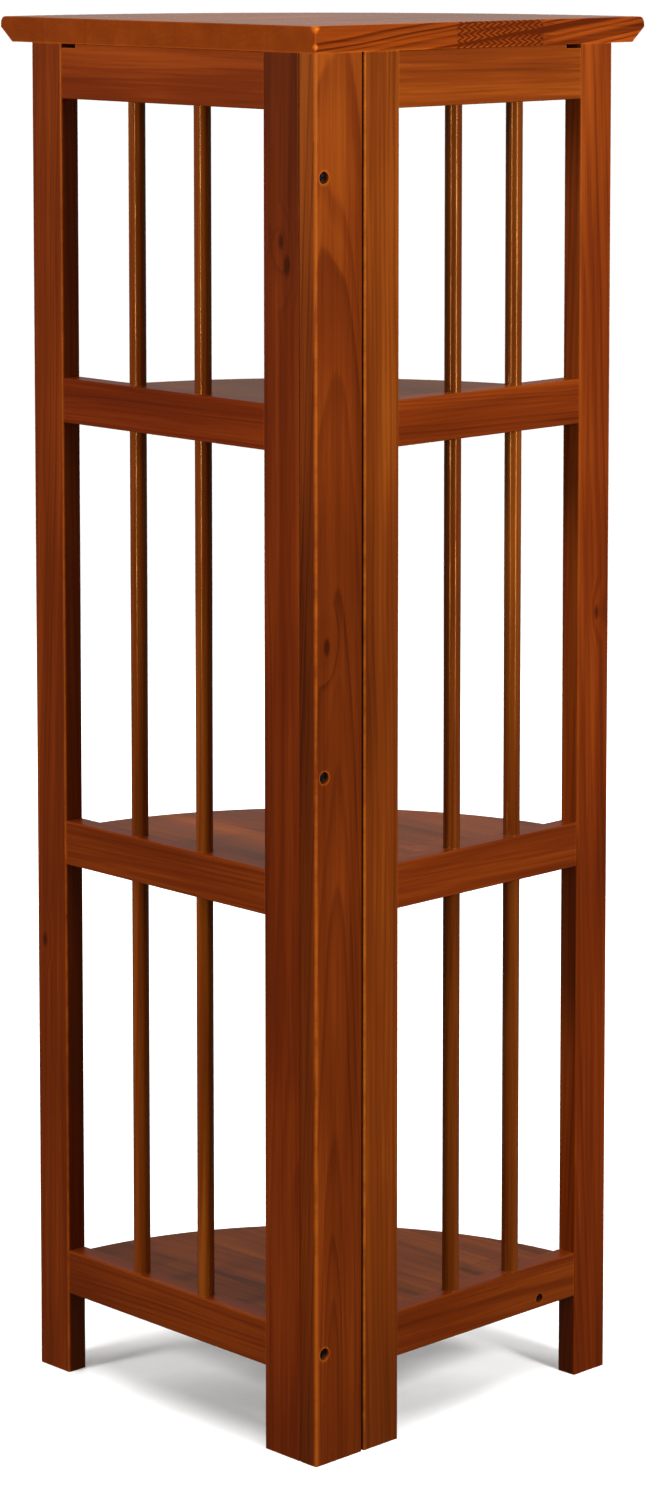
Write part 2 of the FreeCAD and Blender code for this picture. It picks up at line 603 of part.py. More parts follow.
def shelf_blank(label):
    """Quarter-round board, the round centred on the outer rear corner."""
    body = doc.addObject("PartDesign::Body", fresh("shelf"))
    body.Label = label + "_blank"
    s = new_sketch(body, "XY_Plane", fresh("outline"))
    x0, y0, r = value_of(SHELF_X), value_of(SHELF_Y), value_of("shelf_r")
    x1 = (r * r - y0 * y0) ** 0.5
    y1 = (r * r - x0 * x0) ** 0.5
    import math
    s.addGeometry(Part.LineSegment(V(x0, y0, 0), V(x1, y0, 0)), False)
    circle = Part.Circle(V(0, 0, 0), V(0, 0, 1), r)
    s.addGeometry(Part.ArcOfCircle(circle, math.atan2(y0, x1), math.atan2(y1, x0)), False)
    s.addGeometry(Part.LineSegment(V(x0, y1, 0), V(x0, y0, 0)), False)
    s.addConstraint(Sketcher.Constraint("Coincident", 0, 2, 1, 1))
    s.addConstraint(Sketcher.Constraint("Coincident", 1, 2, 2, 1))
    s.addConstraint(Sketcher.Constraint("Coincident", 2, 2, 0, 1))
    s.addConstraint(Sketcher.Constraint("Coincident", 1, 3, -1, 1))
    s.addConstraint(Sketcher.Constraint("Horizontal", 0))
    s.addConstraint(Sketcher.Constraint("Vertical", 2))
    for kind, where, name, expr, value in (
            ("DistanceX", (-1, 1, 0, 1), "near_x", SHELF_X, x0),
            ("DistanceY", (-1, 1, 0, 1), "near_y", SHELF_Y, y0)):
        k = s.addConstraint(Sketcher.Constraint(kind, *(where + (value,))))
        s.renameConstraint(k, name)
        s.setExpression("Constraints." + name, q(expr))
    k = s.addConstraint(Sketcher.Constraint("Radius", 1, r))
    s.renameConstraint(k, "round")
    s.setExpression("Constraints.round", q("shelf_r"))
    pad = body.newObject("PartDesign::Pad", fresh("pad"))
    pad.Profile = s
    pad.setExpression("Length", q("shelf_t"))
    doc.recompute()
    names = []
    for i, e in enumerate(pad.Shape.Edges):
        if isinstance(e.Curve, Part.Circle):
            names.append("Edge%d" % (i + 1))
    f = body.newObject("PartDesign::Fillet", fresh("front_round"))
    f.Base = (pad, names)
    f.setExpression("Radius", q("shelf_round"))
    doc.recompute()
    body.Tip = f
    return body


for name, rail in LEVELS:
    tools = []
    screws, fixed, moving, pins = [], [], [], []
    z = shelf_pin_z(rail)
    for s in SHELF_HINGES:
        y = "%s + hinge_len / 2" % s
        fixed.append(copy_of(fixed_leaf_m, SHELF_PIN_X, y, z, SHELF_HINGE_TURN))
        moving.append(copy_of(moving_leaf_m, SHELF_PIN_X, y, z, SHELF_HINGE_TURN))
        pins.append(copy_of(pin_m, SHELF_PIN_X, y, z, SHELF_HINGE_TURN))
        for sign in ("-", "+"):
            along = "%s %s screw_off" % (s, sign)
            level = z + " - " + SCREW_DOWN
            tools.append(cyl("hs_rad + bore_gap", "hs_len + 0.3 + 1",
                             SHELF_X + " - 1", along, level, "+x"))
            screws.append(copy_of(hinge_screw_m, SHELF_X + " - leaf_t", along, level,
                                  TURN["+x"]))
    blank = at(shelf_blank(name + "_shelf"), "0", "0", shelf_top(rail) + " - shelf_t")
    node(bored(name + "_shelf", blank, tools))
    node(group(name + "_hinge_rail_leaves", fixed))
    node(group(name + "_hinge_shelf_leaves", moving))
    node(group(name + "_hinge_pins", pins))
    node(group(name + "_shelf_hinge_screws", screws))
node(group("rail_hinge_screws", rail_hinge_screws))

# ---------------------------------------------------------------- top
node(group("top_pegs", pegs))

body = doc.addObject("PartDesign::Body", "top_body")
body.Label = "top_board_blank"
s = new_sketch(body, "XZ_Plane", "top_profile")
r, t = VAL["top_r"], VAL["top_t"]
cw, ch, eh, er = VAL["top_cove_w"], VAL["top_cove_h"], VAL["top_edge_h"], VAL["top_ease"]
p = [V(0, 0, 0), V(r - cw, 0, 0), V(r, ch, 0), V(r, t - er, 0), V(r - er, t, 0), V(0, t, 0)]
s.addGeometry(Part.LineSegment(p[0], p[1]), False)
s.addGeometry(Part.LineSegment(p[1], p[2]), False)
s.addGeometry(Part.LineSegment(p[2], p[3]), False)
s.addGeometry(Part.ArcOfCircle(Part.Circle(V(r - er, t - er, 0), V(0, 0, 1), er),
                               0.0, 1.5707963267948966), False)
s.addGeometry(Part.LineSegment(p[4], p[5]), False)
s.addGeometry(Part.LineSegment(p[5], p[0]), False)
for i in range(6):
    s.addConstraint(Sketcher.Constraint("Coincident", i, 2, (i + 1) % 6, 1))
s.addConstraint(Sketcher.Constraint("Horizontal", 0))
s.addConstraint(Sketcher.Constraint("Vertical", 2))
s.addConstraint(Sketcher.Constraint("Horizontal", 4))
s.addConstraint(Sketcher.Constraint("Vertical", 5))
s.addConstraint(Sketcher.Constraint("Coincident", 0, 1, -1, 1))
for kind, where, name, expr, value in (
        ("DistanceX", (-1, 1, 0, 2), "under_x", "top_r - top_cove_w", r - cw),
        ("DistanceX", (-1, 1, 1, 2), "tip_x", "top_r", r),
        ("DistanceY", (-1, 1, 1, 2), "tip_y", "top_cove_h", ch),
        ("DistanceY", (-1, 1, 2, 2), "edge_y", "top_t - top_ease", t - er),
        ("DistanceX", (-1, 1, 3, 2), "flat_x", "top_r - top_ease", r - er),
        ("DistanceY", (-1, 1, 4, 2), "thick_y", "top_t", t)):
    k = s.addConstraint(Sketcher.Constraint(kind, *(where + (value,))))
    s.renameConstraint(k, name)
    s.setExpression("Constraints." + name, q(expr))
k = s.addConstraint(Sketcher.Constraint("Radius", 3, er))
s.renameConstraint(k, "ease_r")
s.setExpression("Constraints.ease_r", q("top_ease"))
rev = body.newObject("PartDesign::Revolution", "top_spin")
rev.Profile = s
rev.ReferenceAxis = (s, ["V_Axis"])
rev.Angle = 90.0
doc.recompute()
# the quarter lies over +X and +Y
if body.Shape.BoundBox.YMax < 1.0:
    rev.Reversed = True
    doc.recompute()
at(body, "0", "0", "frame_h")
tools = []
for s_ in ("peg_left_a", "peg_left_b"):
    tools.append(cyl("peg_rad + lift_gap", "peg_out + 1 + 1", RAIL_MID, s_, "frame_h - 1", "+z"))
for s_ in ("peg_right_a", "peg_right_b"):
    tools.append(cyl("peg_rad + lift_gap", "peg_out + 1 + 1", s_, RAIL_MID, "frame_h - 1", "+z"))
node(bored("top_board", body, tools))

doc.recompute()

# ---------------------------------------------------------------- tests and files
bad = []
for o in doc.Objects:
    if "Invalid" in o.State or "Error" in o.State:
        bad.append("%s %s" % (o.Label, o.State))
for o in NODES:
    if o.Shape.isNull() or not o.Shape.isValid() or not o.Shape.Solids:
        bad.append(o.Label + " has no valid shape")
    for sol in o.Shape.Solids:
        if sol.Volume <= 0:
            bad.append(o.Label + " has an empty solid")
labels = [o.Label for o in NODES]
if len(set(labels)) != len(labels):
    bad.append("a label is used twice")
if bad:
    raise RuntimeError("; ".join(bad))

os.makedirs("parts", exist_ok=True)
for old in os.listdir("parts"):
    if old.endswith(".step"):
        os.remove(os.path.join("parts", old))
for o in NODES:
    o.Shape.exportStep(os.path.join("parts", o.Label + ".step"))
    print("%-30s solids %2d  volume %10.1f" % (o.Label, len(o.Shape.Solids), o.Shape.Volume))
print(len(NODES), "nodes")
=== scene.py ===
"""Looks of a folding corner bookcase: stained and lacquered pine, plated hinges, blackened screws."""

import math

import bpy
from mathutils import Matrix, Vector


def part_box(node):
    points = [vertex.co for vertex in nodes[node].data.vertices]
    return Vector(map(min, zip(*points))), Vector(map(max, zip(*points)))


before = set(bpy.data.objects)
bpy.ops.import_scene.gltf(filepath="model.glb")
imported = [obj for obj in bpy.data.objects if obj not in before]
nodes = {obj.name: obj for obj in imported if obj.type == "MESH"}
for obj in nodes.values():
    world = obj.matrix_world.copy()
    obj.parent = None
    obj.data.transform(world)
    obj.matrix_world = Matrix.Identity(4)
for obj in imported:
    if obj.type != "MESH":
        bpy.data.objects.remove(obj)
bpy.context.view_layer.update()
scene = bpy.context.scene


# ---------------------------------------------------------------- node helpers
class Tree:
    """A material's node tree, with short calls that return output sockets."""

    def __init__(self, name):
        self.material = bpy.data.materials.new(name)
        self.material.use_nodes = True
        self.tree = self.material.node_tree
        self.tree.nodes.clear()
        self.shader = self.new("ShaderNodeBsdfPrincipled")
        out = self.new("ShaderNodeOutputMaterial")
        self.tree.links.new(self.shader.outputs["BSDF"], out.inputs["Surface"])

    def new(self, kind):
        return self.tree.nodes.new(kind)

    def put(self, value, socket):
        if isinstance(value, bpy.types.NodeSocket):
            self.tree.links.new(value, socket)
        else:
            socket.default_value = value

    def place(self):
        return self.new("ShaderNodeTexCoord").outputs["Object"]

    def split(self, vector):
        n = self.new("ShaderNodeSeparateXYZ")
        self.put(vector, n.inputs[0])
        return n.outputs[0], n.outputs[1], n.outputs[2]

    def join(self, x, y, z):
        n = self.new("ShaderNodeCombineXYZ")
        for i, v in enumerate((x, y, z)):
            self.put(v, n.inputs[i])
        return n.outputs[0]

    def math(self, how, a, b=0.0, c=0.0, clamp=False):
        n = self.new("ShaderNodeMath")
        n.operation, n.use_clamp = how, clamp
        for i, v in enumerate((a, b, c)):
            self.put(v, n.inputs[i])
        return n.outputs[0]

    def vmath(self, how, a, b):
        n = self.new("ShaderNodeVectorMath")
        n.operation = how
        self.put(a, n.inputs[0])
        self.put(b, n.inputs[1])
        return n.outputs["Vector"]

    def noise(self, vector, scale=1.0, detail=2.0, rough=0.5, twist=0.0):
        n = self.new("ShaderNodeTexNoise")
        self.put(vector, n.inputs["Vector"])
        n.inputs["Scale"].default_value = scale
        n.inputs["Detail"].default_value = detail
        n.inputs["Roughness"].default_value = rough
        n.inputs["Distortion"].default_value = twist
        return n.outputs["Fac"], n.outputs["Color"]

    def chance(self, value):
        n = self.new("ShaderNodeTexWhiteNoise")
        n.noise_dimensions = "1D"
        self.put(value, n.inputs["W"])
        return n.outputs["Value"], n.outputs["Color"]

    def remap(self, value, a, b, c, d):
        n = self.new("ShaderNodeMapRange")
        n.clamp = True
        for i, v in enumerate((value, a, b, c, d)):
            self.put(v, n.inputs[i])
        return n.outputs[0]

    def ramp(self, value, stops, ease="LINEAR"):
        n = self.new("ShaderNodeValToRGB")
        n.color_ramp.interpolation = ease
        el = n.color_ramp.elements
        while len(el) < len(stops):
            el.new(0.5)
        for e, (at, colour) in zip(el, stops):
            e.position = at
            e.color = (*colour, 1.0) if len(colour) == 3 else colour
        self.put(value, n.inputs["Fac"])
        return n.outputs["Color"]

    def bump(self, height, distance, strength):
        n = self.new("ShaderNodeBump")
        n.inputs["Strength"].default_value = strength
        n.inputs["Distance"].default_value = distance
        self.put(height, n.inputs["Height"])
        return n.outputs["Normal"]

    def edges(self, radius):
        """1 on an edge that stands out, 0 on a flat face."""
        soft = self.new("ShaderNodeBevel")
        soft.samples = 4
        soft.inputs["Radius"].default_value = radius
        flat = self.new("ShaderNodeNewGeometry").outputs["Normal"]
        n = self.new("ShaderNodeVectorMath")
        n.operation = "DOT_PRODUCT"
        self.put(soft.outputs["Normal"], n.inputs[0])
        self.put(flat, n.inputs[1])
        return self.remap(n.outputs["Value"], 0.80, 0.985, 1.0, 0.0)


def grey(v):
    return (v, v, v)


ORDER = {"X": (1, 2, 0), "Y": (2, 0, 1), "Z": (0, 1, 2)}


def wood(
    name,
    node,
    grain,
    seed,
    gain=1.0,
    warm=1.0,
    ring=0.22,
    ring_w=0.0045,
    pith=(0.045, 0.03),
    lean=0.03,
    fibre=0.42,
    broad=0.95,
    boards=None,
    rough=(0.30, 0.42),
    gloss=0.25,
    knots=(),
    run=None,
    chips=(),
    comb=None,
    rub=None,
    calm=0.0,
    bare=False,
):
    """Pine with its grain along one axis of the part frame. The growth rings lie about a
    pith line beside the board, so a face shows long flames and an end shows arcs. boards
    makes a panel of edge-glued strips with finger joints. run lists (place, shift): how much
    lighter or darker the colour is along the board, from its low end at 0 to its other at 1."""
    t = Tree(name)
    lo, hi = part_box(node)
    mid = (lo + hi) / 2
    x = t.split(t.place())
    facing = t.split(t.new("ShaderNodeTexCoord").outputs["Normal"])
    broad_face = t.remap(t.math("ABSOLUTE", facing[2]), 0.6, 0.95, 0.0, 1.0)
    order = (0, 2, 1) if boards and grain == "Y" else ORDER[grain]
    u, v, w = (x[i] for i in order)
    uc, vc, wc = (mid[i] for i in order)
    u = t.math("SUBTRACT", u, uc)
    v = t.math("SUBTRACT", v, vc)
    along = t.math("ADD", w, seed * 1.37)
    tone_shift = None
    seam = None
    if boards:
        # strips side by side across the grain, each cut into lengths that meet in fingers
        width, length, first, joint = boards
        across = t.math("SUBTRACT", x[order[0]], lo[order[0]])
        strip_at = t.math("DIVIDE", across, width)
        strip = t.math("FLOOR", strip_at)
        zig = t.math("PINGPONG", x[2], 0.0021)
        reach = t.math("MULTIPLY_ADD", zig, 13.0, t.math("SUBTRACT", w, joint))
        reach = t.math("MULTIPLY_ADD", strip, first, reach)
        cut_at = t.math("DIVIDE", reach, length)
        cut = t.math("FLOOR", cut_at)
        block = t.math("MULTIPLY_ADD", strip, 7.31, t.math("MULTIPLY", cut, 3.17))
        block = t.math("ADD", block, seed * 11.0)
        luck, lucks = t.chance(block)
        a, b, c = t.split(lucks)
        u = t.math("MULTIPLY", t.math("SUBTRACT", t.math("FRACT", strip_at), 0.5), width)
        u = t.math("ADD", u, t.math("MULTIPLY_ADD", a, 0.05, -0.025))
        v = t.math("ADD", v, t.math("MULTIPLY_ADD", b, 0.03, -0.005))
        along = t.math("MULTIPLY_ADD", c, 4.0, along)
        tone_shift = t.math("MULTIPLY_ADD", luck, 0.26, -0.13)
        lean = t.math("MULTIPLY_ADD", c, lean, 0.5 * lean)
        # thin dark glue lines
        e1 = t.math("ABSOLUTE", t.math("SUBTRACT", t.math("FRACT", strip_at), 0.5))
        e2 = t.math("ABSOLUTE", t.math("SUBTRACT", t.math("FRACT", cut_at), 0.5))
        line1 = t.remap(e1, 0.5 - 0.0006 / width, 0.5, 0.0, 1.0)
        reach2 = t.remap(broad_face, 0.0, 1.0, 0.5 - 0.0075 / length, 0.5 - 0.0008 / length)
        line2 = t.remap(e2, reach2, 0.5, 0.0, 1.0)
        seam = t.math("MAXIMUM", line1, t.math("MULTIPLY", line2, 1.7))
    # slow wander of the grain
    slow = t.join(
        t.math("MULTIPLY", u, 16.0),
        t.math("MULTIPLY", v, 16.0),
        t.math("MULTIPLY", along, 2.6),
    )
    _, wander = t.noise(slow, 1.0, 2.0, 0.5)
    wu, wv, _ = t.split(wander)
    ru = t.math("MULTIPLY_ADD", t.math("SUBTRACT", wu, 0.5), 0.016, u)
    rv = t.math("MULTIPLY_ADD", t.math("SUBTRACT", wv, 0.5), 0.016, v)
    ru = t.math("ADD", ru, pith[0])
    rv = t.math("MULTIPLY_ADD", t.math("SUBTRACT", w, wc), lean, rv)
    rv = t.math("ADD", rv, pith[1])
    r = t.math(
        "SQRT",
        t.math("MULTIPLY_ADD", ru, ru, t.math("MULTIPLY", rv, rv)),
    )
    # pin knots: small dark eyes that the grain flows round
    eye = None
    for (kx, ky, kz), kr in knots:
        d = t.vmath("SUBTRACT", t.join(*x), (kx, ky, kz))
        squeeze = [1.0 / kr] * 3
        squeeze[order[2]] = 0.45 / kr
        d = t.vmath("MULTIPLY", d, tuple(squeeze))
        n = t.new("ShaderNodeVectorMath")
        n.operation = "LENGTH"
        t.put(d, n.inputs[0])
        near = n.outputs["Value"]
        r = t.math("MULTIPLY_ADD", t.remap(near, 0.0, 4.0, 1.0, 0.0), ring_w * 1.6, r)
        spot = t.remap(near, 0.35, 1.0, 1.0, 0.0)
        eye = spot if eye is None else t.math("MAXIMUM", eye, spot)
    # rings of uneven width, some faint and some strong
    count = t.math("DIVIDE", r, ring_w)
    uneven, _ = t.noise(t.join(t.math("MULTIPLY", count, 0.45), seed * 2.3, 0.0), 1.0, 1.0, 0.5)
    count = t.math("MULTIPLY_ADD", uneven, 3.2, count)
    strong, _ = t.chance(t.math("ADD", t.math("FLOOR", count), seed * 5.0))
    late = t.ramp(
        t.math("FRACT", count),
        [(0.0, grey(0.0)), (0.40, grey(0.12)), (0.84, grey(1.0)), (1.0, grey(0.0))],
        "EASE",
    )
    late = t.math("MULTIPLY", late, t.math("MULTIPLY_ADD", strong, 0.9, 0.25))
    # cut ends take the stain evenly
    end = t.remap(t.math("ABSOLUTE", facing[order[2]]), 0.55, 0.9, 0.0, 1.0)
    if calm:
        # a broad face that was sanded and sealed shows its figure less than an edge
        late = t.math("MULTIPLY", late, t.math("MULTIPLY_ADD", broad_face, -calm, 1.0))
    late = t.math("MULTIPLY", late, t.math("MULTIPLY_ADD", end, -0.92, 1.0))
    # fine fibres, short resin flecks and broad uneven stain
    thin = t.join(
        t.math("MULTIPLY", u, 560.0),
        t.math("MULTIPLY", v, 560.0),
        t.math("MULTIPLY", along, 10.0),
    )
    fib, _ = t.noise(thin, 1.0, 3.0, 0.62)
    short = t.join(
        t.math("MULTIPLY", u, 1500.0),
        t.math("MULTIPLY", v, 1500.0),
        t.math("MULTIPLY", along, 55.0),
    )
    fleck, _ = t.noise(short, 1.0, 1.0, 0.5)
    fleck = t.remap(fleck, 0.66, 0.78, 0.0, 1.0)
    wide = t.join(
        t.math("MULTIPLY", u, 46.0),
        t.math("MULTIPLY", v, 46.0),
        t.math("MULTIPLY", along, 2.0),
    )
    stain, _ = t.noise(wide, 1.0, 3.0, 0.55)
    cloud, _ = t.noise(t.vmath("MULTIPLY", slow, (0.6, 0.6, 1.8)), 1.0, 2.0, 0.5)
    tone = t.math("MULTIPLY_ADD", t.math("SUBTRACT", stain, 0.5), broad, 0.56)
    tone = t.math("MULTIPLY_ADD", t.math("SUBTRACT", fib, 0.5), fibre, tone)
    tone = t.math("MULTIPLY_ADD", t.math("SUBTRACT", cloud, 0.5), 0.45, tone)
    if calm:
        # sanded end grain is plainer still
        plain = t.math("MULTIPLY_ADD", end, -0.62, 1.0)
        tone = t.math("MULTIPLY_ADD", t.math("SUBTRACT", tone, 0.56), plain, 0.56)
    tone = t.math("MULTIPLY_ADD", late, -ring, tone)
    tone = t.math("MULTIPLY_ADD", fleck, -0.10, tone)
    tone = t.math("MULTIPLY_ADD", end, -0.19, tone)
    if calm:
        flank = t.remap(t.math("ABSOLUTE", facing[order[0]]), 0.6, 0.95, 0.0, 0.11)
        tone = t.math("MULTIPLY_ADD", broad_face, -0.12, t.math("ADD", tone, flank))
    if run:
        # the colour is made lighter or darker along the board's length, at the places run lists
        spot = t.remap(w, lo[order[2]], hi[order[2]], 0.0, 1.0)
        shift_along = t.ramp(spot, [(at, grey(0.5 + shift)) for at, shift in run], "EASE")
        tone = t.math("ADD", tone, t.math("SUBTRACT", shift_along, 0.5))
    if boards:
        # strips are matched better in the shelves than in the top
        matched = 1.0 if calm else 0.55
        shown = t.math("MULTIPLY_ADD", end, -0.7 * matched, matched)
        tone = t.math("MULTIPLY_ADD", tone_shift, shown, tone)
        tone = t.math("MULTIPLY_ADD", t.math("MULTIPLY", seam, shown), -0.34, tone)
    if comb:
        # a finger joint in the first strip, seen as rows of short teeth
        start, stop = comb
        teeth = t.math("DIVIDE", t.math("PINGPONG", x[2], 0.0023), 0.0023 / 0.9)
        teeth = t.math("FRACT", t.math("MULTIPLY_ADD", w, 1.0 / 0.0064, teeth))
        teeth = t.remap(t.math("ABSOLUTE", t.math("SUBTRACT", teeth, 0.5)), 0.10, 0.30, 1.0, 0.0)
        half = (stop - start) / 2
        inside = t.math("ABSOLUTE", t.math("SUBTRACT", w, (start + stop) / 2))
        inside = t.remap(inside, half - 0.002, half, 1.0, 0.0)
        teeth = t.math("MULTIPLY", teeth, t.math("MULTIPLY", inside, t.remap(strip, 0.2, 0.8, 1.0, 0.0)))
        teeth = t.math("MULTIPLY", teeth, t.math("SUBTRACT", 1.0, broad_face))
        tone = t.math("MULTIPLY_ADD", teeth, -0.62, tone)
    if eye is not None:
        tone = t.math("MULTIPLY_ADD", eye, -0.45, tone)
    # eased edges are painted lighter: partly stain worn thin there, partly a painted highlight along the rounded edges
    if not bare:
        tone = t.math("MULTIPLY_ADD", t.edges(0.0018), 0.34, tone)
    if rub:
        # the stain is worn thin along one upright edge, and the pale streak there is also a painted highlight on that
        # edge
        ex, ey, size = rub
        dx, dy = t.math("SUBTRACT", x[0], ex), t.math("SUBTRACT", x[1], ey)
        far = t.math("SQRT", t.math("MULTIPLY_ADD", dx, dx, t.math("MULTIPLY", dy, dy)))
        worn = t.remap(far, 0.4 * size, size, 1.0, 0.0)
        patchy, _ = t.noise(t.join(0.0, float(seed), t.math("MULTIPLY", w, 55.0)), 1.0, 3.0, 0.6)
        worn = t.math("MULTIPLY", worn, t.remap(patchy, 0.35, 0.65, 0.35, 1.0))
        tone = t.math("MULTIPLY_ADD", worn, 0.55, tone)
    for spot_at, size in chips:
        n = t.new("ShaderNodeVectorMath")
        n.operation = "DISTANCE"
        t.put(t.join(*x), n.inputs[0])
        t.put(spot_at, n.inputs[1])
        rubbed = t.math("MULTIPLY", t.remap(n.outputs["Value"], 0.3 * size, size, 1.0, 0.0), fib)
        tone = t.math("MULTIPLY_ADD", rubbed, 1.6, tone)
    if bare:
        stops = [
            (0.0, (0.30, 0.17, 0.08)),
            (0.45, (0.50, 0.32, 0.17)),
            (1.0, (0.66, 0.47, 0.28)),
        ]
    else:
        deep, mid_c, light = (
            (0.034, 0.0036, 0.0003),
            (0.118, 0.0168, 0.0012),
            (0.262, 0.0520, 0.0040),
        )
        stops = [
            (0.0, deep),
            (0.5, mid_c),
            (1.0, light),
        ]
        stops = [
            (at, (c[0] * gain, c[1] * gain * warm, c[2] * gain * warm))
            for at, c in stops
        ]
    t.put(t.ramp(tone, stops), t.shader.inputs["Base Color"])
    t.put(
        t.remap(t.math("MULTIPLY_ADD", stain, 0.5, t.math("MULTIPLY", fib, 0.5)), 0.3, 0.7, *rough),
        t.shader.inputs["Roughness"],
    )
    height = t.math("MULTIPLY_ADD", late, 0.35, fib)
    t.put(t.bump(height, 0.00025, 0.22 if not bare else 0.5), t.shader.inputs["Normal"])
    t.shader.inputs["Specular IOR Level"].default_value = gloss
    t.shader.inputs["Specular Tint"].default_value = (1.0, 0.9, 0.75, 1.0) if bare else (1.0, 0.45, 0.14, 1.0)
    return t.material


def plated(name):
    """Nickel-plated sheet steel with a drawn finish and a little tarnish."""
    t = Tree(name)
    p = t.place()
    drawn, _ = t.noise(t.vmath("MULTIPLY", p, (2400.0, 120.0, 2400.0)), 1.0, 2.0, 0.6)
    dull, _ = t.noise(t.vmath("MULTIPLY", p, (160.0, 160.0, 160.0)), 1.0, 3.0, 0.6)
    colour = t.ramp(
        dull,
        [(0.3, (0.42, 0.38, 0.30)), (0.55, (0.58, 0.54, 0.46)), (0.8, (0.66, 0.63, 0.56))],
    )
    t.put(colour, t.shader.inputs["Base Color"])
    t.put(t.remap(drawn, 0.3, 0.7, 0.24, 0.42), t.shader.inputs["Roughness"])
    t.put(t.bump(drawn, 0.00008, 0.25), t.shader.inputs["Normal"])
    t.shader.inputs["Metallic"].default_value = 1.0
    return t.material


def blackened(name, warm=False):
    """Black-oxide screw steel, rubbed a little grey in places, or the same in brown bronze."""
    t = Tree(name)
    p = t.place()
    worn, _ = t.noise(t.vmath("MULTIPLY", p, (420.0, 420.0, 420.0)), 1.0, 3.0, 0.6)
    stops = [(0.35, (0.004, 0.003, 0.003)), (0.62, (0.008, 0.007, 0.006)), (0.85, (0.034, 0.029, 0.026))]
    if warm:
        stops = [(0.35, (0.030, 0.017, 0.009)), (0.62, (0.052, 0.030, 0.015)), (0.85, (0.130, 0.080, 0.040))]
    colour = t.ramp(worn, stops)
    t.put(colour, t.shader.inputs["Base Color"])
    t.put(t.remap(worn, 0.3, 0.8, 0.34, 0.55), t.shader.inputs["Roughness"])
    t.put(t.bump(worn, 0.00006, 0.2), t.shader.inputs["Normal"])
    t.shader.inputs["Metallic"].default_value = 0.6 if warm else 0.2
    t.shader.inputs["Specular IOR Level"].default_value = 0.5 if warm else 0.2
    return t.material


def dress(node, material):
    o = nodes[node]
    o.data.materials.clear()
    o.data.materials.append(material)
    for p in o.data.polygons:
        p.material_index = 0


# ------------------------------------------------------------------- materials
STICKS = {
    # node: (grain, seed, gain, warm, ring, pith, lean)
    "corner_board": ("Z", 1, 0.92, 1.05, 0.22, (0.004, 0.034), 0.050),
    "left_rear_stile": ("Z", 2, 0.90, 0.84, 0.16, (0.060, 0.020), 0.020),
    "left_front_stile": ("Z", 3, 1.04, 0.95, 0.18, (0.050, 0.050), 0.030),
    "right_rear_stile": ("Z", 4, 1.00, 1.25, 0.16, (0.050, 0.035), 0.020),
    "right_front_stile": ("Z", 5, 0.90, 0.93, 0.20, (0.040, 0.060), 0.040),
    "left_lower_rail": ("Y", 6, 0.95, 0.95, 0.18, (0.050, 0.030), 0.040),
    "left_middle_rail": ("Y", 7, 0.98, 0.92, 0.16, (0.045, 0.040), 0.030),
    "left_upper_rail": ("Y", 8, 0.92, 0.75, 0.18, (0.055, 0.020), 0.050),
    "left_head_rail": ("Y", 9, 1.15, 0.87, 0.10, (0.040, 0.040), 0.030),
    "right_lower_rail": ("X", 10, 0.82, 1.00, 0.18, (0.045, 0.035), 0.040),
    "right_middle_rail": ("X", 11, 0.90, 0.98, 0.18, (0.050, 0.030), 0.030),
    "right_upper_rail": ("X", 12, 1.06, 0.97, 0.16, (0.050, 0.050), 0.030),
    "right_head_rail": ("X", 13, 1.20, 1.17, 0.10, (0.045, 0.030), 0.050),
    # the spindles are one turned stock: the right-wing sets are painted darker than the left-wing sets, a painted shade
    # for the shade they stand in
    "left_lower_spindles": ("Z", 14, 1.20, 1.25, 0.14, (0.030, 0.020), 0.020),
    "left_middle_spindles": ("Z", 15, 1.02, 1.22, 0.14, (0.030, 0.025), 0.030),
    "left_upper_spindles": ("Z", 16, 1.12, 1.25, 0.14, (0.025, 0.020), 0.020),
    "right_lower_spindles": ("Z", 17, 0.62, 1.20, 0.14, (0.030, 0.030), 0.025),
    "right_middle_spindles": ("Z", 18, 0.72, 1.20, 0.14, (0.035, 0.020), 0.020),
    "right_upper_spindles": ("Z", 19, 0.66, 1.25, 0.14, (0.030, 0.020), 0.030),
    "right_lower_cleat": ("X", 20, 0.95, 0.95, 0.16, (0.030, 0.020), 0.030),
    "right_middle_cleat": ("X", 21, 0.97, 0.98, 0.16, (0.030, 0.025), 0.030),
    "right_upper_cleat": ("X", 22, 1.00, 0.96, 0.16, (0.030, 0.020), 0.030),
}
KNOTS = {
    "corner_board": (((-0.1524, -0.1630, 0.5681), 0.0036),),
    "left_front_stile": (((-0.163, 0.121, 0.318), 0.0032),),
    "right_front_stile": (((0.116, -0.163, 0.560), 0.0030),),
    "left_rear_stile": (((-0.1630, -0.1354, 0.8250), 0.0042), ((-0.1630, -0.1295, 0.8413), 0.0034)),
}
RUNS = {
    "corner_board": [(0.0, -0.09), (0.12, -0.05), (0.35, -0.19), (0.60, -0.18), (0.76, 0.0), (0.93, 0.16), (1.0, 0.20)],
    "left_rear_stile": [(0.0, -0.10), (0.10, -0.03), (0.70, -0.05), (1.0, -0.20)],
    "left_front_stile": [(0.0, -0.08), (0.10, -0.04), (0.5, -0.04), (1.0, 0.01)],
    "right_rear_stile": [(0.0, -0.06), (0.12, -0.03), (0.38, -0.05), (0.56, -0.17), (0.75, -0.03), (1.0, 0.04)],
    "right_front_stile": [(0.0, -0.10), (0.10, 0.0), (1.0, 0.02)],
}
EDGE_WEAR_AND_HIGHLIGHTS = {
    # node: (x, y, reach) of an upright edge painted pale: rubbed stain and a painted highlight
    "corner_board": (-0.163, -0.163, 0.0026),
    "right_rear_stile": (-0.1173, -0.163, 0.0024),
    "left_front_stile": (-0.163, 0.097, 0.0020),
    "right_front_stile": (0.129, -0.163, 0.0020),
}
CHIPS = {
    # the finish is broken round the screw holes
    "corner_board": tuple(((-0.155, -0.163, z), 0.0062) for z in (0.078, 0.479, 0.885)),
}
